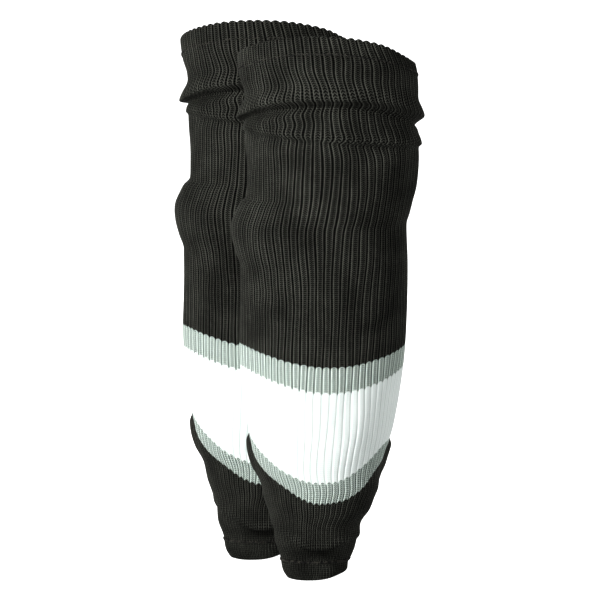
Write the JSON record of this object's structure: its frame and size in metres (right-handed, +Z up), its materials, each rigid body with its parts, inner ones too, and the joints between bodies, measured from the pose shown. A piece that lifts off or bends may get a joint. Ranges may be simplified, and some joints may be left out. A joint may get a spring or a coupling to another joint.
{
  "type": "pair of hockey shin guards with socks",
  "caption": "Pair of hinged ice hockey shin guards with knee cups and thigh guards, each inside its striped rib-knit footless sock, standing upright.",
  "frame": {"origin": "middle of the pair's box, on the surface that the two sock hems stand on", "axes": "+Z up along the legs, -X the way the wearer faces, -Y the wearer's left, where the left unit stands"},
  "size_m": [0.275, 0.322, 0.62],
  "materials": {
    "black_knit": "heavy one-by-one rib knit, matt",
    "grey_knit": "heavy one-by-one rib knit, matt",
    "white_knit": "heavy one-by-one rib knit, matt",
    "hard_plastic": "injection moulded polyethylene, satin",
    "flexible_plastic": "thin moulded sheet, satin",
    "foam_liner": "brushed fabric over foam, quilted",
    "webbing": "woven elastic",
    "hook_tape": "moulded hooks",
    "rivet_steel": "plated, domed heads"
  },
  "bodies": {
    "left_shin": {"left_ankle_hem": "black_knit", "left_sock_ankle": "black_knit", "left_sock_lower_stripe": "grey_knit", "left_sock_band": "white_knit", "left_sock_upper_stripe": "grey_knit", "left_sock_calf": "black_knit", "left_sock_knee": "black_knit", "left_shin_shell": "hard_plastic", "left_shin_liner": "foam_liner", "left_calf_wing_outer": "flexible_plastic", "left_calf_wing_inner": "flexible_plastic", "left_wing_rivet_outer": "rivet_steel", "left_wing_rivet_inner": "rivet_steel", "left_calf_strap": "webbing", "left_calf_strap_tab": "hook_tape", "left_lower_strap": "webbing", "left_lower_strap_tab": "hook_tape", "left_knee_rivet_outer": "rivet_steel", "left_knee_rivet_inner": "rivet_steel"},
    "left_kneecap": {"left_knee_cup": "hard_plastic", "left_knee_pad": "foam_liner"},
    "left_thigh": {"left_sock_thigh": "black_knit", "left_top_hem": "black_knit", "left_thigh_shell": "hard_plastic", "left_thigh_pad": "foam_liner", "left_thigh_strap": "webbing", "left_thigh_strap_tab": "hook_tape"},
    "right_shin": {"right_ankle_hem": "black_knit", "right_sock_ankle": "black_knit", "right_sock_lower_stripe": "grey_knit", "right_sock_band": "white_knit", "right_sock_upper_stripe": "grey_knit", "right_sock_calf": "black_knit", "right_sock_knee": "black_knit", "right_shin_shell": "hard_plastic", "right_shin_liner": "foam_liner", "right_calf_wing_outer": "flexible_plastic", "right_calf_wing_inner": "flexible_plastic", "right_wing_rivet_outer": "rivet_steel", "right_wing_rivet_inner": "rivet_steel", "right_calf_strap": "webbing", "right_calf_strap_tab": "hook_tape", "right_lower_strap": "webbing", "right_lower_strap_tab": "hook_tape", "right_knee_rivet_outer": "rivet_steel", "right_knee_rivet_inner": "rivet_steel"},
    "right_kneecap": {"right_knee_cup": "hard_plastic", "right_knee_pad": "foam_liner"},
    "right_thigh": {"right_sock_thigh": "black_knit", "right_top_hem": "black_knit", "right_thigh_shell": "hard_plastic", "right_thigh_pad": "foam_liner", "right_thigh_strap": "webbing", "right_thigh_strap_tab": "hook_tape"}
  },
  "joints": [
    {"name": "left_knee_flex", "type": "hinge", "parent": "left_shin", "child": "left_thigh", "pos_m": [0.05978, -0.082, 0.39], "axis": [0, 1, 0], "range_deg": [0, 90], "deforming": ["left_sock_knee"]},
    {"name": "left_kneecap_tilt", "type": "hinge", "parent": "left_shin", "child": "left_kneecap", "pos_m": [0.05978, -0.082, 0.39], "axis": [0, 1, 0], "range_deg": [0, 45]},
    {"name": "right_knee_flex", "type": "hinge", "parent": "right_shin", "child": "right_thigh", "pos_m": [-0.00482, 0.082, 0.39], "axis": [0, 1, 0], "range_deg": [0, 90], "deforming": ["right_sock_knee"]},
    {"name": "right_kneecap_tilt", "type": "hinge", "parent": "right_shin", "child": "right_kneecap", "pos_m": [-0.00482, 0.082, 0.39], "axis": [0, 1, 0], "range_deg": [0, 45]},
    {"name": "units_apart", "type": "slide", "parent": "left_shin", "child": "right_shin", "axis": [0, 1, 0], "range_m": [0, 0.3]}
  ],
  "couplings": [
    {"joint": "left_kneecap_tilt", "follows": "left_knee_flex", "ratio": 0.5},
    {"joint": "right_kneecap_tilt", "follows": "right_knee_flex", "ratio": 0.5}
  ]
}
